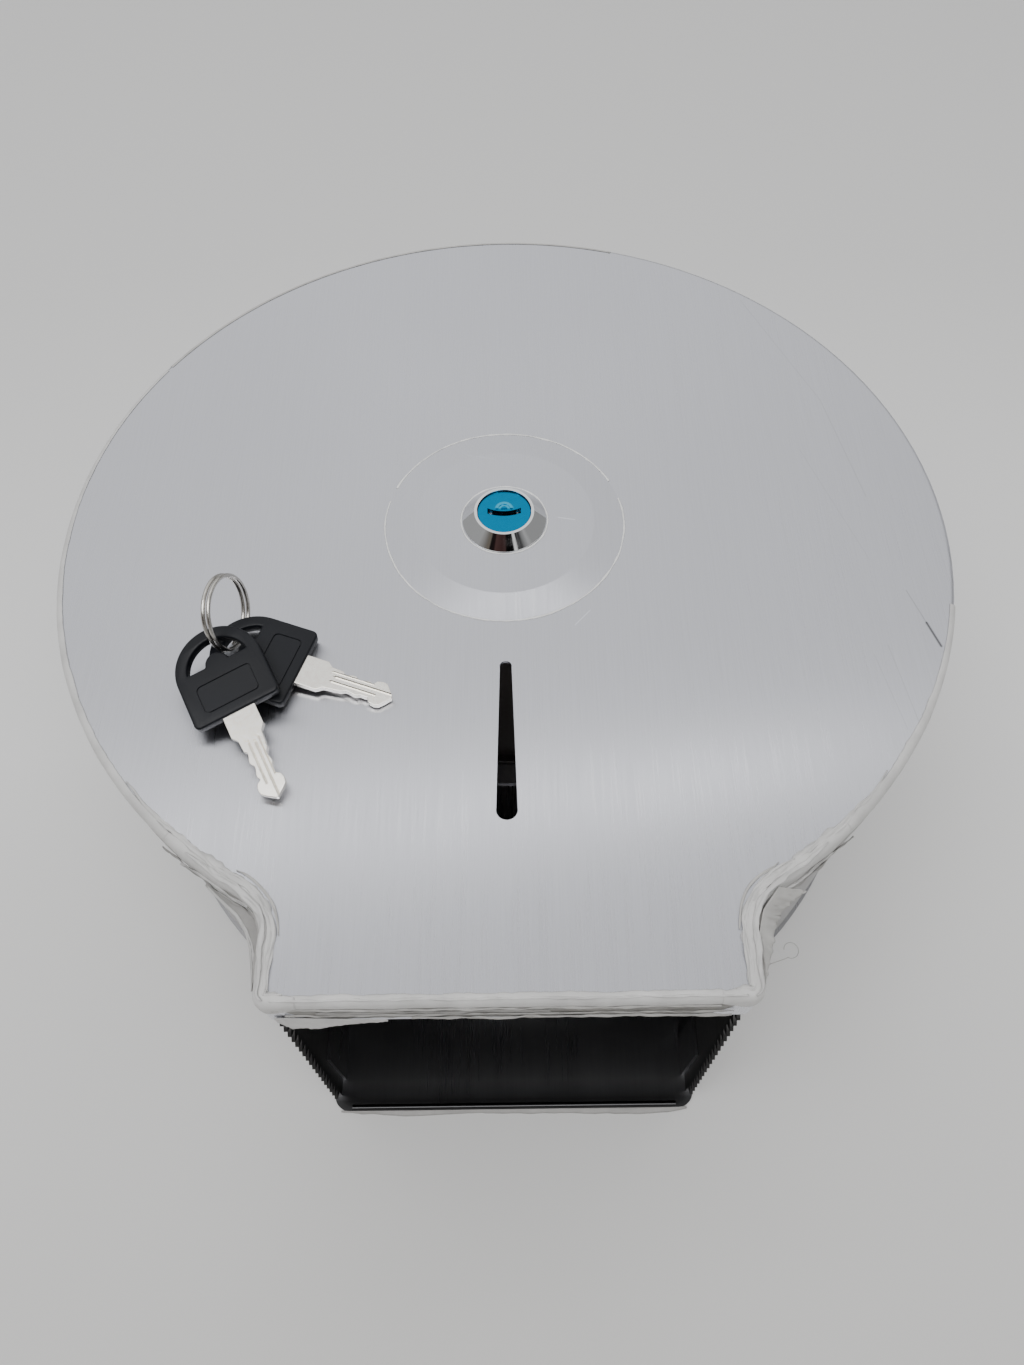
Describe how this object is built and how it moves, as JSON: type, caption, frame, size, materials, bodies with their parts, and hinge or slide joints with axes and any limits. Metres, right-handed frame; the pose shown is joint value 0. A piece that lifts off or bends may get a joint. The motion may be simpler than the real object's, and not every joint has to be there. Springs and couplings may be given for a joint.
{
  "type": "jumbo toilet roll dispenser",
  "caption": "Wall-mounted round steel dispenser for jumbo toilet rolls: bottom-hinged lockable cover with a sight slot, roll spindle inside, toothed paper throat below, keys on a split ring.",
  "frame": {"origin": "centre of the wall screw pattern on the rear face of the back panel, on the common axis of the spindle and the lock", "axes": "+Z out of the wall through the cover, +Y up the wall, +X to the right as seen from the front; the object rests on its back"},
  "size_m": [0.27, 0.2865, 0.1403],
  "materials": {
    "sheet_steel": "vertically brushed stainless sheet",
    "bright_steel": "polished",
    "zinc_plate": "bright zinc plating",
    "white_nylon": "satin nylon",
    "grey_plastic": "fine-grained moulded plastic",
    "chrome": "polished chrome plating",
    "plug_metal": "satin chrome plating",
    "blue_cap": "glossy moulded plastic",
    "key_plastic": "satin black moulded plastic",
    "key_nickel": "nickel plated, milled grooves",
    "ring_steel": "polished spring wire"
  },
  "bodies": {
    "housing": {"back_panel": "sheet_steel", "side_wall": "sheet_steel", "spindle_post": "sheet_steel", "spindle_rivets": "zinc_plate", "strike_plate": "bright_steel", "thrust_washer": "white_nylon", "pivot_rivet_left": "bright_steel", "pivot_rivet_right": "bright_steel", "pivot_washer_left": "white_nylon", "pivot_washer_right": "white_nylon"},
    "hub": {"roll_hub": "grey_plastic"},
    "cover": {"front_cover": "sheet_steel", "lock_housing": "chrome", "lock_washer": "zinc_plate", "lock_nut": "zinc_plate"},
    "plug": {"lock_plug": "plug_metal", "plug_cap": "blue_cap", "lock_cam": "zinc_plate", "cam_washer": "zinc_plate", "cam_screw": "zinc_plate"},
    "keys": {"key_a_head": "key_plastic", "key_a_blade": "key_nickel", "key_b_head": "key_plastic", "key_b_blade": "key_nickel", "key_ring": "ring_steel"}
  },
  "joints": [
    {"name": "cover_hinge", "type": "hinge", "parent": "housing", "child": "cover", "pos_m": [0, -0.1395, 0.111], "axis": [1, 0, 0], "range_deg": [0, 95]},
    {"name": "lock_turn", "type": "hinge", "parent": "cover", "child": "plug", "pos_m": [0, 0, 0.1234], "axis": [0, 0, 1], "range_deg": [0, 90]},
    {"name": "hub_spin", "type": "hinge", "parent": "housing", "child": "hub", "pos_m": [0, 0, 0.05], "axis": [0, 0, 1], "continuous": true},
    {"name": "keys_lift", "type": "slide", "parent": "cover", "child": "keys", "axis": [0, 0, 1], "range_m": [0, 0.06]}
  ]
}
